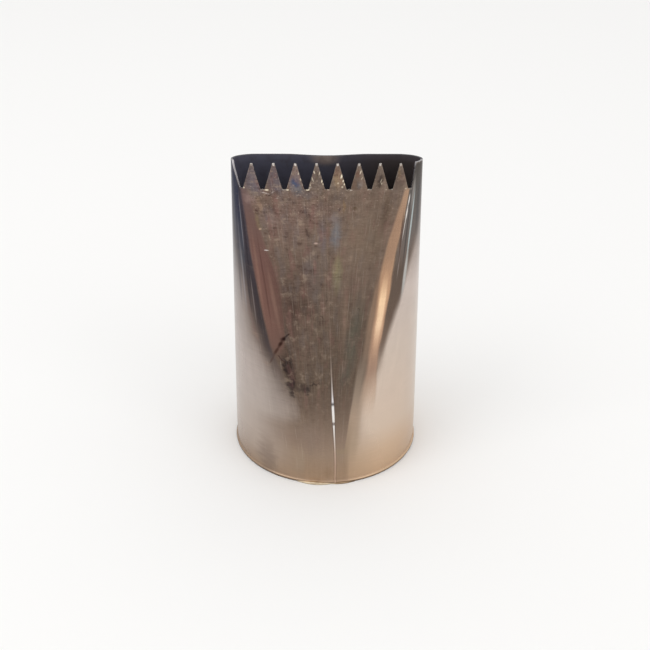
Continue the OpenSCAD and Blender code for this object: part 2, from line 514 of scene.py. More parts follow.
def colour(red, green, blue, strength=1.0):
    parts = [part / 255 for part in (red, green, blue)]
    return [p / 12.92 if p < 0.04045 else ((p + 0.055) / 1.055) ** 2.4 for p in parts] + [strength]


def mixColour(share, a, b, way='MIX'):
    return put('ShaderNodeMix', {0: share, 6: a, 7: b}, data_type='RGBA', blend_type=way).outputs[2]


def paint(painted, share, shade):
    return mixColour(share, painted, colour(*shade[:3]))


def noiseOn(place, stretch, detail, rough, turn=0.0):
    mapping = put('ShaderNodeMapping', {
        'Vector': place, 'Scale': (*stretch, 1), 'Rotation': (0, 0, radians(turn))})
    return put('ShaderNodeTexNoise', {
        'Vector': mapping.outputs[0], 'Scale': 1.0, 'Detail': detail, 'Roughness': rough}).outputs[0]


# stops up the sheet: (mm, (red, green, blue)) or (mm, (red, green, blue, strength))
def upRamp(up, stops):
    high = stops[-1][0]
    ramp = put('ShaderNodeValToRGB', {0: calc('DIVIDE', up, high)})
    elements = ramp.color_ramp.elements
    while len(elements) < len(stops):
        elements.new(0.5)
    for element, (height, shade) in zip(elements, stops):
        element.position = height / high
        element.color = colour(*shade)
    return ramp.outputs


curveHigh, curveWide = 75, 25    # mm that a curve's own 0 to 1 stands for


# a value in mm that changes up the sheet, through (up, value) points
def upCurve(up, points):
    curve = put('ShaderNodeFloatCurve', {1: calc('DIVIDE', up, curveHigh)})
    line = curve.mapping.curves[0]
    for index, (height, value) in ((0, points[0]), (1, points[-1])):
        line.points[index].location = (height / curveHigh, value / curveWide)
    for height, value in points[1:-1]:
        line.points.new(height / curveHigh, value / curveWide)
    curve.mapping.update()
    return times(curve.outputs[0], curveWide)


# both curves through rows of (up, value, other value)
def twoCurves(up, rows):
    return [upCurve(up, [(row[0], row[i]) for row in rows]) for i in (1, 2)]


def newGroup(name, outputs, inputs=()):
    tree = bpy.data.node_groups.new(name, 'ShaderNodeTree')
    for socket in inputs:
        tree.interface.new_socket(socket, in_out='INPUT', socket_type='NodeSocketFloat')
    for socket, kind in outputs.items():
        tree.interface.new_socket(socket, in_out='OUTPUT', socket_type='NodeSocket' + kind)
    return tree


def giveBack(tree, values):
    feed(addNode(tree, 'NodeGroupOutput'), values)
    return tree


def useGroup(tree, group):
    return addNode(tree, 'ShaderNodeGroup', node_tree=group).outputs


# Place is mm round the sheet from the middle of the front and mm up it,
# Face Place is the same from the middle of whichever face the point is on
def makePlaceGroup():
    tree = newGroup('placeOnSheet', {
        'Place': 'Vector', 'Face Place': 'Vector', 'Up': 'Float', 'Face Along': 'Float',
        'Off Middle': 'Float', 'Front': 'Float'})
    parts = mapOf(tree, 'sheet')
    along = calc('MULTIPLY_ADD', parts[0], uvSpan, -uvSpan / 2)
    up = times(parts[1], uvSpan)
    corner = lipArc / mm
    reach = calc('ABSOLUTE', along)
    pastCorner = calc('ABSOLUTE', calc('SUBTRACT', reach, corner))
    off = calc('SUBTRACT', corner, pastCorner)
    faceAlong = times(off, calc('SIGN', along))
    return giveBack(tree, {
        'Place': put('ShaderNodeCombineXYZ', {0: along, 1: up}).outputs[0],
        'Face Place': put('ShaderNodeCombineXYZ', {0: faceAlong, 1: up}).outputs[0],
        'Up': up, 'Face Along': faceAlong, 'Off Middle': off,
        'Front': calc('LESS_THAN', reach, corner)})


# how much of a band that runs up a face covers a point
def makeBandGroup():
    tree = newGroup('band', {'Mask': 'Float'}, [
        'Off Middle', 'Inner', 'Outer', 'Inner Softness', 'Outer Softness'])
    off, inner, outer, innerSoft, outerSoft = addNode(tree, 'NodeGroupInput').outputs[:5]
    inside = calc('DIVIDE', calc('SUBTRACT', off, inner), innerSoft)
    outside = calc('DIVIDE', calc('SUBTRACT', outer, off), outerSoft)
    return giveBack(tree, {
        'Mask': times(ease(inside, -0.5, 0.5), ease(outside, -0.5, 0.5))})


# painted reflections over the steel's own tarnish, as seen in soft white light: the colours up the flat
# face and up each side stand in for what they reflect
flatFaceReflection = [
    (0, (178, 151, 128)), (3, (165, 140, 117)), (8, (155, 134, 116)), (12, (142, 122, 107)),
    (16, (127, 109, 95)), (20, (112, 95, 83)), (25, (102, 87, 75)), (37, (107, 91, 79)),
    (48, (116, 99, 87)), (58, (124, 106, 93)), (66, (123, 105, 92)), (73.5, (130, 115, 103)),
]
leftSideReflection = [
    (0, (162, 138, 116)), (6, (178, 162, 150)), (12, (190, 177, 168)), (20, (190, 178, 171)),
    (30, (184, 172, 166)), (38, (176, 165, 160)), (46, (152, 144, 142)), (54, (98, 95, 98)),
    (61, (58, 58, 68)), (66, (44, 47, 62)), (73.5, (64, 66, 76)),
]
rightSideReflection = [
    (0, (204, 174, 144)), (7, (207, 180, 154)), (13, (211, 191, 173)), (20, (210, 191, 175)),
    (32, (206, 190, 177)), (46, (202, 188, 180)), (53, (172, 158, 150)), (58, (138, 128, 123)),
    (64, (98, 90, 87)), (73.5, (64, 61, 59)),
]
# rows as (up, middle of the change, mm it takes): where the lighter painted reflection of the side takes
# over from the flat's
sideReflectionEdges = {
    -1: [
        (0, 18, 8), (6, 19, 7), (10, 19.5, 6.5), (14, 19.6, 7), (18, 17.8, 10.5), (22, 18.3, 8.4),
        (26, 18.9, 6), (30, 19.7, 5), (34, 20.4, 4), (38, 20.7, 3.4), (42, 20.8, 3), (50, 21.2, 2.2),
        (60, 22, 1.2), (73.5, 22.7, 0.8),
    ],
    1: [
        (0, 16.4, 9), (10, 16.2, 7), (16, 16, 3.8), (22, 16.5, 2.6), (28, 17.5, 2), (35, 18.6, 1.2),
        (40, 19.3, 1), (45, 20, 1), (50, 20.6, 1), (55, 21.2, 1), (60, 21.7, 0.9), (66, 22.2, 0.8),
        (73.5, 22.8, 0.8),
    ],
}

# painted reflections in bands up a face: side, softness of the inner and outer edge, rows as (up, inner,
# outer) off the middle, colours up it with a strength
reflectionBands = [
    # painted dark reflection in the fold on the left, charcoal
    (-1, 0.7, 2, [
        (22, 16.4, 17.2), (27, 17, 18.2), (31, 17.8, 19.1), (36, 18.3, 19.8), (40, 18.6, 20.2),
        (45, 18.9, 20.5), (50, 19.1, 21), (60, 19.4, 21.7), (73.5, 19.6, 23.6),
    ], [
        (22, (112, 98, 92, 0)), (27, (100, 86, 82, 0.6)), (32, (78, 68, 67, 0.95)), (38, (66, 59, 60, 1)),
        (46, (63, 57, 60, 1)), (54, (66, 61, 67, 1)), (64, (66, 62, 70, 1)), (73.5, (64, 62, 72, 1)),
    ]),
    # painted navy reflection near the mouth
    (-1, 0.4, 0.6, [
        (46, 20.3, 20.9), (52, 20.4, 21.5), (60, 20.5, 22.1), (73.5, 20.6, 22.9),
    ], [
        (46, (88, 90, 98, 0)), (52, (74, 77, 86, 0.6)), (62, (52, 56, 72, 0.85)), (73.5, (50, 55, 72, 0.9)),
    ]),
    # painted red-brown reflection beside the fold
    (-1, 0.9, 0.6, [
        (29, 16.9, 17.5), (32, 16.5, 18), (36, 15.6, 18.3), (40, 14.9, 18.6), (45, 14.8, 18.9),
        (50, 15.4, 19.2), (55, 16.4, 19.4), (60, 17.2, 19.6), (66, 18.3, 19.9), (73.5, 19, 20.3),
    ], [
        (29, (108, 86, 78, 0)), (33, (114, 86, 78, 0.8)), (38, (118, 89, 80, 1)), (46, (118, 87, 79, 1)),
        (54, (117, 88, 81, 1)), (60, (114, 87, 81, 0.9)), (66, (114, 92, 90, 0.85)),
        (73.5, (106, 90, 90, 0.7)),
    ]),
    # painted glow of reflected light beside the tan stripe on the right
    (1, 1.6, 0.8, [
        (26, 15, 17.5), (34, 14.7, 17.3), (44, 14.9, 17.2), (52, 15.6, 17.4),
    ], [
        (26, (134, 116, 102, 0)), (31, (142, 120, 104, 0.7)), (38, (146, 121, 102, 0.9)),
        (46, (150, 122, 102, 0.8)), (52, (140, 116, 98, 0)),
    ]),
    # painted tan reflection in a stripe
    (1, 0.7, 0.4, [
        (16, 16.2, 18.4), (22, 16.1, 18.2), (30, 16.3, 17.8), (35, 16.3, 17.9), (40, 16.4, 17.9),
        (45, 16.3, 18), (50, 16.1, 18), (55, 16.3, 18.2), (60, 16.9, 18.6), (65, 17.6, 19),
        (69, 18.4, 19.2),
    ], [
        (16, (200, 174, 150, 0)), (22, (190, 163, 142, 0.7)), (28, (166, 136, 117, 0.95)),
        (33, (176, 142, 119, 1)), (38, (198, 160, 132, 1)), (46, (196, 156, 125, 1)),
        (54, (172, 139, 115, 1)), (62, (173, 140, 116, 1)), (67.6, (180, 148, 124, 1)),
        (69, (150, 128, 110, 0)),
    ]),
    # its painted peach highlight at the core
    (1, 0.45, 0.35, [
        (30, 16.9, 17.3), (35, 16.7, 17.5), (40, 16.7, 17.6), (46, 16.6, 17.5), (52, 16.9, 17.3),
    ], [
        (30, (216, 178, 146, 0)), (34, (226, 186, 154, 0.45)), (38, (248, 212, 176, 1)),
        (44, (252, 214, 174, 1)), (48, (226, 186, 150, 0.6)), (51, (200, 160, 128, 0)),
    ]),
    # painted dark reflection in the fold between the stripe and the side, steel grey near the mouth
    (1, 0.3, 1.1, [
        (24, 17.7, 18.3), (28, 17.7, 18.4), (32, 17.7, 18.5), (38, 17.9, 19), (44, 18.1, 19.8),
        (50, 18.3, 20.5), (56, 18.6, 21.2), (62, 19, 21.9), (73.5, 19.2, 23.6),
    ], [
        (24, (160, 140, 124, 0)), (28, (140, 121, 106, 0.55)), (32, (124, 106, 94, 0.8)),
        (40, (106, 90, 80, 1)), (50, (102, 88, 79, 1)), (55, (116, 105, 99, 1)), (60, (112, 105, 101, 1)),
        (66, (102, 97, 94, 1)), (73.5, (82, 78, 75, 1)),
    ]),
    # painted soft highlight in a streak low on the right
    (1, 1.3, 1.2, [
        (5, 11.6, 16.6), (14, 12.4, 16.6), (20, 12.8, 16.3), (26, 13, 16.2), (33, 13.4, 15.8),
    ], [
        (5, (170, 146, 120, 0)), (10, (170, 148, 125, 0.6)), (17, (172, 150, 131, 0.95)),
        (22, (156, 138, 122, 0.9)), (28, (138, 122, 108, 0.75)), (33, (124, 108, 95, 0)),
    ]),
]

# marks on the front, partly stains and partly painted reflections and highlights: along, up, half length
# along, half length up, colour and strength, then a softness and a turn in degrees where they aren't plain
stainsAndReflections = [
    (-10, 62, 11, 11, (124, 101, 93, 0.6)), (7.5, 55.5, 3.4, 9, (134, 114, 98, 0.6)),
    (13.6, 55, 1.8, 10, (106, 89, 76, 0.5), 0.9, 3), (-9, 43, 4.5, 9, (91, 74, 65, 0.5)),
    (-12.2, 42, 2.2, 7, (82, 65, 58, 0.6)), (-6.8, 48, 4, 11, (92, 74, 66, 0.6)),
    (-15.1, 54, 1.1, 3, (98, 75, 67, 0.6)), (-14.6, 61.8, 1.8, 2, (142, 120, 112, 0.5)),
    (2.5, 58.6, 2, 5.5, (124, 122, 124, 0.8)), (1.6, 57.5, 1.5, 2.8, (114, 116, 124, 0.4), 0.9, -20),
    (3.2, 50, 2.1, 6, (144, 132, 104, 0.9)), (-1.2, 58, 1.9, 5.5, (112, 101, 106, 0.6)),
    (-2.4, 63.5, 6.5, 3.2, (122, 99, 92, 0.6), 0.9, 4), (-13.4, 42, 5, 17, (95, 76, 68, 0.75), 0.9, 3),
    (-7.5, 34, 5, 8, (112, 94, 84, 0.4)), (-8, 42, 8, 3, (78, 62, 54, 0.45)),
    (14.2, 45, 1.2, 3, (84, 68, 60, 0.5)), (-4, 50, 3.4, 10, (110, 98, 94, 0.5)),
    (10, 35, 3.8, 13, (95, 90, 79, 0.85), 0.9, -6), (8, 27, 3, 4, (92, 89, 80, 0.6)),
    (6.4, 41, 1.5, 9, (124, 104, 90, 0.6)), (11.5, 57, 5, 8, (124, 108, 92, 0.4)),
    (15, 63.5, 2, 7, (92, 76, 64, 0.65)), (2.6, 66, 3, 1.6, (96, 82, 76, 0.6)),
    (1.6, 62, 2.2, 1.6, (132, 120, 118, 0.6)), (-18.2, 66, 1.6, 1.8, (150, 126, 120, 0.8)),
    (-10, 12, 12, 6, (140, 122, 110, 0.45)), (-16, 6, 2.2, 6, (164, 145, 126, 0.6)),
    (-19.9, 4, 1.2, 9, (128, 112, 102, 0.55)), (9, 8.8, 7, 1, (156, 138, 113, 0.5), 0.8),
    (1, 3, 4, 2.4, (150, 124, 100, 0.5)), (-11, 24, 6, 1.6, (74, 63, 57, 0.8), 0.8, 2),
    (-9.4, 23.4, 2, 1.2, (58, 50, 48, 0.8), 0.7), (-5.5, 24.9, 3.2, 0.35, (66, 56, 51, 0.7), 0.6, 4),
    (-15.1, 28.5, 2.6, 6.6, (62, 50, 46, 0.9), 0.9, 6), (-16.1, 28.2, 0.8, 3.2, (50, 41, 40, 0.9), 0.7, 4),
    (-15.6, 25, 1.4, 2, (42, 36, 38, 0.95), 0.7, -10), (-16, 22.9, 0.8, 2, (58, 50, 48, 0.85), 0.8, 6),
    (-14.9, 28.1, 1.1, 0.6, (70, 58, 54, 0.7), 0.8), (-15.1, 29.8, 0.9, 0.3, (56, 46, 44, 0.8), 0.5),
    (-16.9, 30.3, 0.28, 1.2, (66, 46, 40, 0.8), 0.6, 25), (-8.5, 20.8, 5, 1, (104, 88, 78, 0.5), 0.9, -6),
    (-12.5, 40.3, 1.6, 0.7, (80, 66, 58, 0.6), 0.7), (-7.3, 40.6, 0.5, 0.45, (82, 68, 60, 0.6), 0.6),
    (-6.2, 50.2, 3.4, 1.5, (94, 78, 72, 0.5)), (-0.1, 44, 0.22, 2.6, (80, 66, 60, 0.6), 0.7, 2),
    (-1.6, 40.4, 1.5, 0.2, (82, 66, 58, 0.6), 0.6, -35), (10.8, 41.9, 0.6, 0.3, (78, 68, 60, 0.7), 0.6),
    (9.4, 44.2, 0.4, 0.3, (84, 72, 62, 0.5), 0.6), (-15.6, 63, 0.5, 2.2, (80, 70, 84, 0.8), 0.6, 8),
    (-13.6, 64, 1.8, 0.8, (88, 72, 70, 0.6), 0.8), (-9, 65.6, 2.6, 0.7, (92, 76, 72, 0.6), 0.8),
    (3, 63.7, 0.6, 0.5, (84, 72, 72, 0.8), 0.6), (6.8, 63.8, 0.8, 0.45, (92, 76, 60, 0.8), 0.6),
    (-5.6, 63.2, 0.6, 0.7, (86, 70, 68, 0.6), 0.7), (-7.1, 69.6, 2.4, 3.8, (124, 119, 122, 0.8), 0.6),
    (-7.4, 69.6, 1.5, 1.3, (74, 84, 110, 0.9), 0.7, -20), (-6.4, 67.8, 1.6, 1, (104, 104, 106, 0.6)),
    (2.4, 70.4, 1.5, 3, (156, 132, 106, 0.8), 0.8), (7, 71.4, 0.7, 1.5, (122, 92, 78, 0.7), 0.8),
    (7.4, 68.9, 1.2, 1.3, (88, 84, 84, 0.6), 0.8), (16.4, 71.4, 0.45, 1.7, (168, 144, 104, 0.8), 0.7, 8),
    (-16.8, 70, 2.8, 4.4, (112, 102, 108, 0.85), 0.6), (-11.8, 70.2, 2.8, 4.4, (106, 96, 101, 0.85), 0.6),
    (-7, 71.4, 0.9, 2.2, (132, 128, 128, 0.8), 0.8), (-5.9, 69.8, 0.9, 1.3, (122, 120, 106, 0.6), 0.8),
    (-2.6, 70.3, 1.9, 3.4, (110, 97, 90, 0.85), 0.7), (-2.2, 71, 0.6, 1.2, (104, 88, 70, 0.6), 0.8),
    (2, 72, 0.9, 1.4, (120, 100, 82, 0.6), 0.8), (6.4, 69.2, 1.1, 1.6, (118, 94, 78, 0.7), 0.8),
    (7.9, 69.2, 0.7, 1.2, (146, 136, 128, 0.6), 0.7), (11.3, 70.8, 1.6, 3.4, (112, 96, 84, 0.8)),
    (12.4, 70, 1, 2.6, (72, 60, 53, 0.95), 0.9, -14), (16.6, 70.2, 1.8, 3.6, (100, 86, 78, 0.8), 0.7),
    (15.3, 71.4, 0.35, 1.8, (108, 90, 100, 0.6), 0.7, -20), (-20, 69.6, 1, 2.6, (50, 48, 52, 0.8)),
    (-16.3, 64.6, 1, 3.4, (150, 126, 108, 0.8), 0.8, 18), (-14.4, 61.6, 3, 3, (142, 122, 114, 0.7)),
    (-17.2, 61, 0.8, 2.6, (130, 112, 88, 0.6), 0.8, 6), (4.2, 64.5, 0.5, 2.2, (142, 116, 88, 0.6), 0.8),
    (-5, 67, 4, 1.2, (118, 108, 106, 0.6)),
]
# thin marks with the same columns, most of them painted reflections and highlights along the folds and the
# sides, a few dark marks on the flat
lineMarksAndHighlights = [
    (-14.6, 36, 1.7, 0.34, (46, 28, 24, 1), 0.8, 24), (-15.9, 35.2, 1.1, 0.62, (42, 26, 23, 1), 0.8, 34),
    (-16.6, 34, 0.42, 1.4, (52, 33, 28, 0.95), 0.8, -24),
    (-17.4, 32.2, 0.34, 1.9, (66, 44, 38, 0.8), 0.8, -24),
    (-18.2, 30, 0.2, 1.9, (84, 66, 60, 0.7), 0.8, -20),
    (19.35, 65.6, 0.15, 1.5, (226, 220, 216, 1), 0.6, -2),
    (19.2, 62.6, 0.17, 1.8, (238, 232, 228, 1), 0.6, -2),
    (19.15, 61.6, 0.09, 6.4, (216, 206, 200, 0.85), 0.5, -2),
    (18.95, 53, 0.1, 6, (156, 144, 138, 0.8), 0.6), (20.1, 67, 0.4, 5, (150, 145, 141, 0.8), 0.8, -1),
    (20.3, 60, 0.2, 10, (176, 184, 184, 1), 0.6, -1), (20.15, 49, 0.32, 7, (190, 188, 184, 0.9), 0.7, -1),
    (19.65, 58, 0.2, 11, (76, 71, 71, 0.7), 0.7), (18.75, 57, 0.28, 8, (98, 80, 72, 0.9), 0.7, 2),
    (21.5, 64, 0.6, 11, (80, 77, 77, 0.7), 0.8), (-20.5, 60, 0.12, 8, (136, 134, 140, 0.55), 0.6, 0.5),
    (-21.1, 55, 0.14, 9, (118, 118, 126, 0.4), 0.7, 0.4),
    (-21.7, 60, 0.16, 8, (106, 108, 118, 0.35), 0.7, 0.4), (-20, 56, 0.22, 12, (50, 46, 52, 0.8), 0.7, 0.5),
    (-20.9, 47, 0.14, 10, (150, 145, 148, 0.6), 0.7, 0.5), (-20.3, 46, 0.2, 9, (60, 55, 58, 0.7), 0.7, 0.6),
    (-21.4, 48, 0.2, 10, (92, 88, 92, 0.55), 0.8, 0.5),
    (-19.8, 43, 0.12, 8, (128, 118, 116, 0.6), 0.7, 0.7),
    (-17.7, 48, 0.22, 13, (96, 68, 62, 0.8), 0.7, 0.6),
    (-18.6, 50, 0.35, 13, (138, 106, 94, 0.6), 0.8, 0.6),
    (-16.6, 44, 0.5, 10, (138, 108, 96, 0.6), 0.8, 1.5), (-3, 56.5, 0.8, 0.3, (196, 170, 158, 0.8), 0.8),
    (-3, 55.9, 1, 0.26, (86, 68, 64, 0.7), 0.8), (-16.5, 54.9, 0.55, 0.18, (206, 196, 192, 0.95), 0.6),
    (-17, 59.5, 0.45, 0.25, (196, 166, 142, 0.9), 0.7, 25),
    (-15.4, 58, 0.16, 0.7, (190, 164, 142, 0.6), 0.7), (-14.3, 60.6, 0.9, 0.14, (176, 152, 136, 0.7), 0.7),
    (-12, 66.2, 0.5, 0.2, (182, 168, 160, 0.6), 0.7, 10), (5.7, 67.9, 0.45, 0.2, (196, 182, 170, 0.8), 0.6),
    (-14.7, 67.3, 1.3, 0.2, (206, 194, 184, 0.8), 0.6, -14),
    (-13.9, 66.8, 0.9, 0.16, (58, 44, 46, 0.8), 0.6, 8),
    (-12.8, 67.5, 0.6, 0.16, (190, 176, 168, 0.8), 0.6, 30),
    (-4, 68.4, 0.5, 0.16, (206, 198, 190, 0.7), 0.6, 24),
]

# painted highlights on the burr and the notch floors: along, up, half length along, half length up, turn,
# brightness
glints = [
    (3.35, 70.9, 0.26, 0.75, -20, 1), (3.75, 69.9, 0.2, 0.4, -20, 0.9), (4.05, 69.2, 0.2, 0.35, -20, 0.9),
    (3.6, 68.6, 0.3, 0.3, 0, 0.5), (2.6, 69.4, 0.3, 0.25, 0, 0.4), (1.3, 71.2, 0.2, 0.3, 0, 0.5),
    (-1.65, 71.6, 0.14, 0.8, -20, 0.7), (-1.1, 70, 0.2, 0.75, -20, 1), (-0.85, 69.3, 0.2, 0.4, -20, 0.8),
    (-2.9, 71.7, 0.2, 0.5, 20, 0.6), (-3.3, 70.2, 0.16, 0.8, 20, 0.5), (-3.9, 69, 0.2, 0.5, 25, 0.4),
    (-6.45, 71.4, 0.22, 0.4, -20, 0.5), (-6, 70.2, 0.28, 0.45, 0, 0.5), (-5.6, 69.2, 0.2, 0.5, -20, 0.4),
    (7.6, 71.7, 0.16, 0.6, -20, 0.75), (8, 70.4, 0.14, 0.5, -20, 0.4), (12.5, 69.9, 0.14, 0.6, -20, 0.4),
    (12.7, 69.3, 0.2, 0.3, 0, 0.45), (-10.9, 70.9, 0.14, 0.9, -20, 0.3), (-16, 71.4, 0.12, 0.9, -20, 0.3),
    (-14.2, 67.95, 0.6, 0.2, 0, 1), (-9.3, 67.95, 0.45, 0.18, 0, 0.95), (-4.5, 67.95, 0.6, 0.18, 8, 1),
    (-19.2, 68.2, 0.3, 0.25, 0, 0.7), (0.3, 68, 0.4, 0.16, 0, 0.4), (18.3, 68.1, 0.3, 0.2, 0, 0.4),
    (14, 68, 0.35, 0.16, 0, 0.3), (9.7, 68, 0.35, 0.16, 0, 0.3),
]
# brightness of the painted highlight at each tooth's tip
tipGlints = [0.15, 0.8, 1, 0.5, 0.85, 0.6, 0.6, 0.45]      # each tooth's tip, left to right

# grain of the rolled sheet: stretch along and up, detail, roughness
grains = {
    'level': ((0.34, 2.6), 4, 0.7),          # short level lines
    'upright': ((2.4, 0.12), 4, 0.7),        # finer upright ones
    'broad': ((0.36, 0.035), 3, 0.6),        # broad upright shades
    'cloud': ((0.34, 0.5), 4, 0.65),
    'tint': ((0.42, 0.16), 3, 0.55),
    'speck': ((2, 2.4), 3, 0.6),
}
# what the worn flats show: grain, where it starts and is full, strength, colour
wear = [
    ('tint', 0.5, 0.68, 0.55, (131, 98, 91)),
    ('tint', 0.5, 0.34, 0.3, (112, 104, 104)),
    ('cloud', 0.53, 0.68, 0.6, (152, 133, 117)),
    ('cloud', 0.47, 0.3, 0.65, (80, 62, 56)),
]
# where the wear starts and is full, in mm or as a share of bare flat, and how much there is at each
wearUp = [(10, 28, 0.12, 1), (30, 64, 0.7, 1)]
wearOnFlat = (0.35, 1, 0.12, 1)
wearAlong = (12, -6, 0.5, 1)
hairs = [(5, (7, 0.12)), (-68, (6, 0.15)), (84, (8, 0.1))]       # scratches: turn, stretch
shades = {
    'pit': (82, 62, 57),
    'knock': (176, 154, 138),
    'hair': (210, 196, 182),
    'underBead': (92, 73, 56),
    'glint': (246, 232, 206),
    'tipGlint': (236, 230, 224),
    'burrAndGlint': (186, 174, 162),
}
backShare = 0.7                   # share of the front's bands that the back shows
waver = 0.3                      # mm that the bands' edges move
raggedness = 0.9                 # mm that the stains' edges move
glintEdge = 0.6
tipGlintSize = (0.3, 0.4)        # half length along and up
tipGlintDown = 0.2               # mm from the tip


# an ellipse of colour, its place and half lengths in mm
def addMark(painted, place, along, up, halfAlong, halfUp, shade, edge=0.9, turn=0):
    spot = put('ShaderNodeMapping', {
        'Vector': place, 'Location': (along, up, 0), 'Rotation': (0, 0, radians(turn)),
        'Scale': (halfAlong, halfUp, 1)}, vector_type='TEXTURE').outputs[0]
    fade = put('ShaderNodeTexGradient', {0: spot}, gradient_type='SPHERICAL').outputs[1]
    return paint(painted, times(ease(fade, 0, edge), shade[3]), shade)


# painted reflections: the flat, the lighter sides and the bands, with how much of a point the last two
# cover
def paintReflections(at):
    up = at['Up']
    isRight = ease(at['Face Along'], -4, 4)
    drift = noiseOn(at['Face Place'], (0.7, 0.09), 2, 0.5)
    drift = calc('MULTIPLY_ADD', drift, 2 * waver, -waver)
    faceAlong = calc('ADD', at['Face Along'], drift)
    off = calc('ADD', at['Off Middle'], drift)
    offSide = {1: faceAlong, -1: times(faceAlong, -1)}

    into = {}
    for side, rows in sideReflectionEdges.items():
        middle, width = twoCurves(up, rows)
        into[side] = calc('DIVIDE', calc('SUBTRACT', off, middle), width)
    into = put('ShaderNodeMix', {0: isRight, 2: into[-1], 3: into[1]}).outputs[0]
    cover = ease(into, -0.5, 0.5)
    sides = mixColour(isRight, upRamp(up, leftSideReflection)[0], upRamp(up, rightSideReflection)[0])
    painted = mixColour(cover, upRamp(up, flatFaceReflection)[0], sides)

    frontShare = calc('MULTIPLY_ADD', at['Front'], 1 - backShare, backShare)
    for side, innerSoft, outerSoft, rows, stops in reflectionBands:
        inner, outer = twoCurves(up, rows)
        places = {0: offSide[side], 1: inner, 2: outer, 3: innerSoft, 4: outerSoft}
        mask = put('ShaderNodeGroup', places, node_tree=bandGroup).outputs[0]
        shade, strength = upRamp(up, stops)
        mask = times(mask, calc('GREATER_THAN', up, rows[0][0]), strength, frontShare)
        painted = mixColour(mask, painted, shade)
        cover = calc('MAXIMUM', cover, mask)
    return painted, cover


# the stains and painted reflections have ragged edges, the thin marks and painted highlights plain ones
def paintMarksAndReflections(painted, place):
    drift = put('ShaderNodeTexNoise', {'Vector': place, 'Scale': 0.8, 'Detail': 4.0}).outputs[1]
    swing = (2 * raggedness, 2 * raggedness, 0)
    drift = vectorMath('MULTIPLY_ADD', {0: drift, 1: swing, 2: (-raggedness, -raggedness, 0)})
    ragged = vectorMath('ADD', {0: place, 1: drift})
    for spot, marks in ((ragged, stainsAndReflections), (place, lineMarksAndHighlights)):
        for mark in marks:
            painted = addMark(painted, spot, *mark)
    return painted


# the flats are worn most in the upper half and towards the left
def paintGrain(painted, at, onFlat):
    up = at['Up']
    seen = {name: noiseOn(at['Face Place'], *grain) for name, grain in grains.items()}
    wornUp = times(*[ease(up, *reach) for reach in wearUp])
    worn = times(wornUp, ease(onFlat, *wearOnFlat), ease(at['Face Along'], *wearAlong))
    for name, start, full, strength, shade in wear:
        share = times(ease(seen[name], start, full), worn, strength)
        painted = paint(painted, share, shade)

    nearMouth = ease(up, 54, 66)
    pitted = calc('MULTIPLY_ADD', nearMouth, 0.5, 0.3)
    pits = times(ease(seen['speck'], 0.56, 0.7), pitted, worn)
    painted = paint(painted, pits, shades['pit'])
    knocks = times(ease(seen['speck'], 0.41, 0.31), nearMouth, worn, 0.75)
    painted = paint(painted, knocks, shades['knock'])

    swing = {}
    for name, share, gain, least in (
            ('upright', onFlat, 0.3, 0.18), ('broad', onFlat, 0.5, 0.1), ('level', worn, 0.9, 0.16)):
        strength = calc('MULTIPLY_ADD', share, gain, least)
        swing[name] = times(calc('SUBTRACT', seen[name], 0.5), strength)
    bothUpright = calc('ADD', swing['upright'], swing['broad'])
    bothUpright = times(bothUpright, ease(up, 10, 26, 0.25, 1))
    gain = calc('ADD', calc('ADD', bothUpright, swing['level']), 1)
    gain = put('ShaderNodeCombineColor', {0: gain, 1: gain, 2: gain}).outputs[0]
    painted = mixColour(1, painted, gain, 'MULTIPLY')

    height = calc('ADD', times(seen['level'], worn), times(seen['upright'], 0.6))
    return painted, calc('SUBTRACT', height, pits)


# hair scratches, the shade under the bead, then the glints of the burr and of each tooth's tip
def paintGlints(painted, at, onFlat):
    place = at['Place']
    for turn, stretch in hairs:
        hair = ease(noiseOn(place, stretch, 0, 0.5, turn), 0.75, 0.82)
        hair = times(hair, calc('MULTIPLY_ADD', onFlat, 0.16, 0.04))
        painted = paint(painted, hair, shades['hair'])
    painted = paint(painted, ease(at['Up'], 0.6, 0.3, 0, 0.8), shades['underBead'])
    for *spot, turn, bright in glints:
        painted = addMark(painted, place, *spot, (*shades['glint'], bright), glintEdge, turn)
    tipUp = nozzle['height'] / mm - tipGlintDown
    for left, right, bright in zip(teeth, teeth[1:], tipGlints):
        tip = (left[3] + right[0]) / 2 / mm
        shade = (*shades['tipGlint'], bright)
        painted = addMark(painted, place, tip, tipUp, *tipGlintSize, shade, glintEdge)
    return painted


# the colour with its painted reflections and highlights, the grain height and the dullness of the sheet's
# outer face
def makeSheetGroup():
    tree = newGroup('sheetFinishAndReflections', {'Color': 'Color', 'Height': 'Float', 'Dullness': 'Float'})
    at = useGroup(tree, placeGroup)
    painted, cover = paintReflections(at)
    painted = paintMarksAndReflections(painted, at['Place'])
    onFlat = calc('SUBTRACT', 1, cover)
    painted, height = paintGrain(painted, at, onFlat)
    painted = paintGlints(painted, at, onFlat)
    return giveBack(tree, {'Color': painted, 'Height': height, 'Dullness': onFlat})


def newMaterial(name):
    material = bpy.data.materials.new(name)
    material.use_nodes = True
    return material, material.node_tree


# rough is a gain on the dullness and the least roughness, bump a strength and mm
def finishSteel(material, painted, height, dullness, rough=(0.14, 0.27), bump=(0.5, 0.02), metal=1):
    bumped = put('ShaderNodeBump', {'Strength': bump[0], 'Distance': bump[1] * mm, 'Height': height})
    feed(material.node_tree.nodes['Principled BSDF'], {
        'Base Color': painted, 'Roughness': calc('MULTIPLY_ADD', dullness, *rough),
        'Normal': bumped.outputs[0], 'Metallic': metal})
    return material


placeGroup = makePlaceGroup()
bandGroup = makeBandGroup()
sheetGroup = makeSheetGroup()
print("steel's finish made")


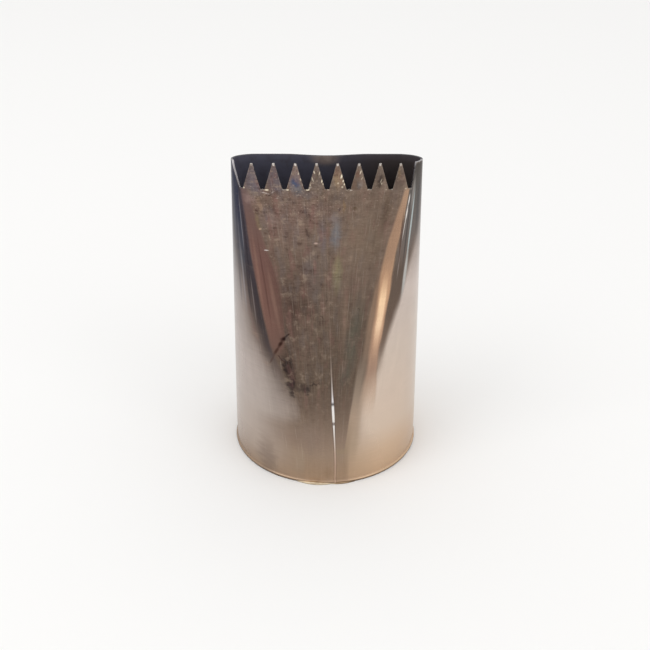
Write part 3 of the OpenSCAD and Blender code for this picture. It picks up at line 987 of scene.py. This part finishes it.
def sheetSteel():
    material, tree = newMaterial('sheetSteel')
    finishAndReflections = useGroup(tree, sheetGroup)
    # a pale burr follows the cut edge of the notches in places, painted lighter as a glint where it catches
    # the light
    at = useGroup(tree, placeGroup)
    below = times(mapOf(tree, 'lip')[1], uvSpan)
    broken = ease(noiseOn(at['Place'], (1.3, 1.3), 2, 0.6), 0.42, 0.6)
    burrAndGlint = times(ease(below, 0.45, 0.1), broken, at['Front'], 0.35)
    painted = paint(finishAndReflections['Color'], burrAndGlint, shades['burrAndGlint'])
    return finishSteel(material, painted, finishAndReflections['Height'], finishAndReflections['Dullness'])


# the inside: painted shade darkening up the bore towards the mouth over painted reflected light low down,
# darker on the right near the mouth, a painted warm reflection near the middle of the mouth and a painted
# highlight line just under the lip, over a darker cloud
inside = {
    'shadeAndLightUp': [
        (0, (214, 204, 192)), (20, (204, 195, 186)), (44, (172, 166, 164)), (58, (128, 126, 138)),
        (68, (108, 107, 124)), (73.5, (97, 97, 112)),
    ],
    'right': (82, 74, 73),       # near the mouth
    'warmReflection': (-0.4, 72.9, 4.6, 2.6, (196, 172, 152, 0.6)),
    'lip': (140, 136, 156),
    'cloud': (80, 74, 78),
    'metalUp': (30, 66, 0.9, 0.35),
    'rough': (0.2, 0.36),
    'bump': (0.4, 0.02),
}


def insideSteel():
    material, tree = newMaterial('insideSteel')
    at = useGroup(tree, placeGroup)
    place, up = at['Face Place'], at['Up']
    # painted shade towards the mouth, painted reflected light low down
    painted = upRamp(up, inside['shadeAndLightUp'])[0]
    isRight = ease(at['Face Along'], -6, 16)
    painted = paint(painted, times(isRight, ease(up, 40, 60)), inside['right'])
    # painted warm reflection near the middle of the mouth
    painted = addMark(painted, place, *inside['warmReflection'])
    # painted highlight as a light line just under the lip
    painted = paint(painted, ease(up, 71.6, 72.6, 0, 0.12), inside['lip'])
    cloud = noiseOn(place, (0.5, 0.4), 4, 0.6)
    painted = paint(painted, ease(cloud, 0.45, 0.7, 0, 0.35), inside['cloud'])
    grain = noiseOn(place, (4, 0.2), 3, 0.6)
    metal = ease(up, *inside['metalUp'])
    return finishSteel(material, painted, grain, grain, inside['rough'], inside['bump'], metal)


# the cut edges: bare steel in dark and bright patches by noise, the bright ones standing in for painted
# glints, lighter past the corner, and the back lip's edge painted near black as a dark reflection
cutEdge = {
    'dark': (122, 112, 104),
    'bright': (226, 220, 210),
    'corner': (166, 162, 164),
    'back': (34, 34, 42),
    'rough': (0.3, 0.15),
    'bump': (0.5, 0.03),
}


def cutSteel():
    material, tree = newMaterial('cutSteel')
    at = useGroup(tree, placeGroup)
    grain = noiseOn(at['Place'], (1.6, 1.6), 3, 0.6)
    # bright patches as painted glints over bare cut steel
    isBright = ease(grain, 0.4, 0.62)
    painted = mixColour(isBright, colour(*cutEdge['dark']), colour(*cutEdge['bright']))
    painted = paint(painted, ease(at['Off Middle'], 18.6, 19.6), cutEdge['corner'])
    # the back lip's cut edge is painted near black as a dark reflection
    painted = mixColour(at['Front'], colour(*cutEdge['back']), painted)
    return finishSteel(material, painted, grain, grain, cutEdge['rough'], cutEdge['bump'])


finishPiece(makeShell(), 'shell', "nozzle_shell")

# the weld that closes the seam, ground nearly flush
weld = {
    'crown': 0.09 * mm,
    'ripple': 0.018 * mm,
    'rippleStep': 0.62 * mm,
    'rippleBow': 0.22 * mm,      # each one sags in its middle
    'lumps': 0.35,               # share of the crown
    'lumpWaves': 400,
    'acrossSteps': 8,
    'upSteps': 240,
    'fadeTop': 1.5 * mm,
    # a painted dark reflection along the bead's edges, then the painted highlight along its middle, broken
    # by two dark rings
    'darkEdgeReflection': (66, 56, 53),
    'highlight': [
        (0, (198, 166, 146, 0.7)), (4, (196, 166, 150, 0.85)), (8.5, (202, 174, 160, 0.85)),
        (10.5, (212, 196, 186, 0.85)), (13.5, (226, 218, 212, 0.95)), (15.2, (238, 234, 230, 1)),
        (15.7, (84, 60, 54, 0.9)), (16.3, (240, 234, 228, 1)), (19.8, (240, 236, 234, 1)),
        (20.3, (40, 34, 36, 1)), (21, (236, 232, 234, 1)), (23, (212, 203, 200, 0.8)),
        (27, (168, 154, 144, 0.6)), (33, (130, 114, 102, 0.2)), (73.5, (120, 104, 92, 0)),
    ],
    # how far the painted highlight spreads to each side, as a share of the bead
    'spread': [
        (0, 0.55), (11, 0.6), (14, 0.72), (15.6, 0.9), (16.4, 1.05), (20, 1.05), (21.5, 0.8), (27, 0.6),
        (73.5, 0.5),
    ],
}


# how far the rolled bead stands out of the collar
def beadStand(z):
    for (lowZ, lowOut), (highZ, highOut) in zip(rims, rims[1:]):
        if z <= highZ:
            return blend(lowOut, highOut, clamp((z - lowZ) / (highZ - lowZ)))
    return 0.0


def weldSteel():
    material, tree = newMaterial('weldSteel')
    finishAndReflections = useGroup(tree, sheetGroup)
    parts = mapOf(tree, 'weld')
    across = calc('ABSOLUTE', calc('MULTIPLY_ADD', parts[0], 2, -1))
    up = times(parts[1], uvSpan)
    # painted dark reflection along the bead's edges and painted highlight along its middle
    edges = times(ease(across, 0.55, 0.9), ease(up, 8, 15, 0.2, 0.75), ease(up, 26, 34, 1, 0.25))
    painted = paint(finishAndReflections['Color'], edges, weld['darkEdgeReflection'])
    spread = upCurve(up, weld['spread'])
    highlight, strength = upRamp(up, weld['highlight'])
    middle = times(ease(across, spread, times(spread, 0.4)), strength)
    painted = mixColour(middle, painted, highlight)
    return finishSteel(material, painted, finishAndReflections['Height'], finishAndReflections['Dullness'])


def makeWeld():
    deselectAll()
    bpy.ops.mesh.primitive_grid_add(
        x_subdivisions=weld['acrossSteps'], y_subdivisions=weld['upSteps'], size=2)
    strip = bpy.context.object
    sheetMap = strip.data.uv_layers[0]
    sheetMap.name = 'sheet'
    weldMap = strip.data.uv_layers.new(name='weld')
    places = [(v.co.x, notchLow * (0.5 + 0.5 * v.co.y)) for v in strip.data.vertices]
    for loop in strip.data.loops:
        across, z = places[loop.vertex_index]
        sheetMap.data[loop.index].uv = onMap(seamAlong(z) + across * seamEdge / flatShare(z), z)
        weldMap.data[loop.index].uv = (0.5 + 0.5 * across, onMap(0, z)[1])
    for vertex, (across, z) in zip(strip.data.vertices, places):
        arch = 1 - across * across
        wave = sin(2 * pi * (z + weld['rippleBow'] * arch) / weld['rippleStep'])
        lumps = 1 + weld['lumps'] * noise.noise(Vector((across, z * weld['lumpWaves'], 1.3)))
        rise = (weld['crown'] * lumps + weld['ripple'] * wave) * arch
        rise *= clamp((notchLow - z) / weld['fadeTop'])
        vertex.co = seamPoint(across, z, 0, beadStand(z) + rise)
    strip.data.materials.append(weldSteel())
    wall = strip.modifiers.new('wall', 'SOLIDIFY')
    wall.thickness = nozzle['wall']
    wall.offset = -1
    applyModifiers(strip)
    smoothByAngle(strip)
    return strip


finishPiece(makeWeld(), 'seamWeld', "seam_weld")

# where the weld ran out under the rim: a long low lobe and a smaller one
runOut = {
    'from': -7 * mm,
    'to': 6.9 * mm,
    'lobes': [(-2.7 * mm, 3.1 * mm, 1), (3.9 * mm, 2.1 * mm, 0.6)],      # middle, half length, size
    'lobeReach': 1.9,
    'lobeRound': 1.2,
    'least': 0.04,               # size past the lobes
    'seat': 0.3 * mm,            # into the bead
    'stand': 0.5 * mm,           # out of the bead
    'rise': 0.7 * mm,
    'leastRise': 0.3,            # share of the rise
    'boxing': 0.72,              # across, it is a rounded box
    'steps': 72,
    'sides': 14,
    # the lobe's colours: lighter on its left as a painted highlight, darker at its right end, darker in
    # clouds, and darker along its underside as painted shade
    'leftHighlight': (232, 216, 188),
    'rightShade': (176, 152, 124),
    'endShade': (104, 84, 62),
    'cloudShade': (160, 134, 106),
    'paintedShadeUnder': (128, 118, 102),
    'rough': (0.3, 0.2),
    'bump': (0.5, 0.03),
}


def runOutSteel():
    material, tree = newMaterial('runOutSteel')
    place = addNode(tree, 'ShaderNodeTexCoord').outputs['Object']
    inMm = vectorMath('SCALE', {0: place, 3: 1 / mm})
    across, _, up = split(inMm)
    cloud = noiseOn(inMm, (0.9, 0.9), 4, 0.6)
    isLeft = ease(across, 2.6, 1)
    # painted highlight on the left of the lobe
    painted = mixColour(isLeft, colour(*runOut['rightShade']), colour(*runOut['leftHighlight']))
    painted = paint(painted, ease(across, 4.5, 6.5), runOut['endShade'])
    painted = paint(painted, ease(cloud, 0.5, 0.7, 0, 0.4), runOut['cloudShade'])
    # painted shade along the underside
    painted = paint(painted, ease(up, 0.26, 0.08, 0, 0.7), runOut['paintedShadeUnder'])
    return finishSteel(material, painted, cloud, cloud, runOut['rough'], runOut['bump'])


def makeRunOut():
    deselectAll()
    bpy.ops.mesh.primitive_cylinder_add(
        vertices=runOut['sides'], radius=1, depth=2, end_fill_type='TRIFAN', rotation=(0, pi / 2, 0))
    lip = bpy.context.object
    bpy.ops.object.transform_apply(location=True, rotation=True, scale=True)
    cutLongEdges(lip, 0, 1, runOut['steps'])
    seatRadius = nozzle['collarRadius'] + nozzle['beadOut'] - runOut['seat']
    for vertex in lip.data.vertices:
        x = blend(runOut['from'], runOut['to'], 0.5 + 0.5 * vertex.co.x)
        size = runOut['least']
        for middle, half, height in runOut['lobes']:
            fade = clamp(1 - ((x - middle) / half) ** 2 / runOut['lobeReach'])
            size = max(size, height * fade ** runOut['lobeRound'])
        outward = clamp(0.5 - runOut['boxing'] * vertex.co.y)
        upward = clamp(0.5 + runOut['boxing'] * vertex.co.z)
        r = seatRadius + (runOut['seat'] + runOut['stand'] * size) * outward
        z = runOut['rise'] * blend(runOut['leastRise'], 1, size) * upward
        vertex.co = (x, -(r * r - x * x) ** 0.5, z)
    lip.data.materials.append(runOutSteel())
    rounded = lip.modifiers.new('rounded', 'SUBSURF')
    rounded.levels = rounded.render_levels = 1
    applyModifiers(lip)
    setMode('EDIT')
    bpy.ops.mesh.select_all(action='SELECT')
    bpy.ops.mesh.normals_make_consistent(inside=False)
    setMode('OBJECT')
    bpy.ops.object.shade_smooth()
    return lip


finishPiece(makeRunOut(), 'rimWeld', "rim_weld")

# camera, floor and light
view = {
    'place': Vector((-2.89, -220, 154.01)) * mm,
    'focalPixels': 1033.6,       # of the 650 pixel frame
    'framePixels': 650,
    'pitch': 29.241,
    'yaw': 0.695,
    'roll': 0.303,
}


def makeCamera():
    data = bpy.data.cameras.new('camera')
    data.sensor_width = 36
    data.lens = view['focalPixels'] / view['framePixels'] * data.sensor_width
    data.clip_start, data.clip_end = 0.01, 20
    camera = bpy.data.objects.new('camera', data)
    bpy.context.scene.collection.objects.link(camera)
    turn = Matrix.Rotation(radians(-view['yaw']), 4, 'Z')
    turn @= Matrix.Rotation(radians(90 - view['pitch']), 4, 'X')
    turn @= Matrix.Rotation(radians(view['roll']), 4, 'Z')
    camera.matrix_world = Matrix.Translation(view['place']) @ turn
    bpy.context.scene.camera = camera


studio = {
    'floorRadius': 3,
    'floor': {'Base Color': (0.93, 0.925, 0.915, 1), 'Roughness': 0.9, 'Specular IOR Level': 0.1},
    'skyHigh': (0.95, 0.95, 0.95, 1),
    'skyLow': (0.84, 0.835, 0.825, 1),
    'skyBlend': 0.6,
}
lamps = {                        # place, size, watts
    'key': ((-0.55, -0.35, 0.75), 0.5, 1.3),
    'fill': ((0.6, -0.5, 0.55), 0.4, 0.5),
}


def makeFloor():
    deselectAll()
    bpy.ops.mesh.primitive_circle_add(vertices=96, radius=studio['floorRadius'], fill_type='NGON')
    floor = bpy.context.object
    floor.name = 'floor'
    material, tree = newMaterial('floorPaper')
    feed(tree.nodes['Principled BSDF'], studio['floor'])
    floor.data.materials.append(material)


def makeWorld():
    world = bpy.data.worlds.new('studio')
    bpy.context.scene.world = world
    world.use_nodes = True
    tree = world.node_tree
    high = split(addNode(tree, 'ShaderNodeTexCoord').outputs['Generated'])[2]
    sky = mixColour(ease(high, 0, studio['skyBlend']), studio['skyLow'], studio['skyHigh'])
    feed(tree.nodes['Background'], {'Color': sky})


def makeLamps():
    for name, (place, size, watts) in lamps.items():
        data = bpy.data.lights.new(name, 'AREA')
        data.size, data.energy = size, watts
        lamp = bpy.data.objects.new(name, data)
        bpy.context.scene.collection.objects.link(lamp)
        lamp.location = place
        lamp.rotation_euler = Vector(place).to_track_quat('Z', 'Y').to_euler()


makeCamera()
makeFloor()
makeWorld()
makeLamps()
bpy.context.scene.view_settings.view_transform = 'Standard'
print("camera, floor and light made")
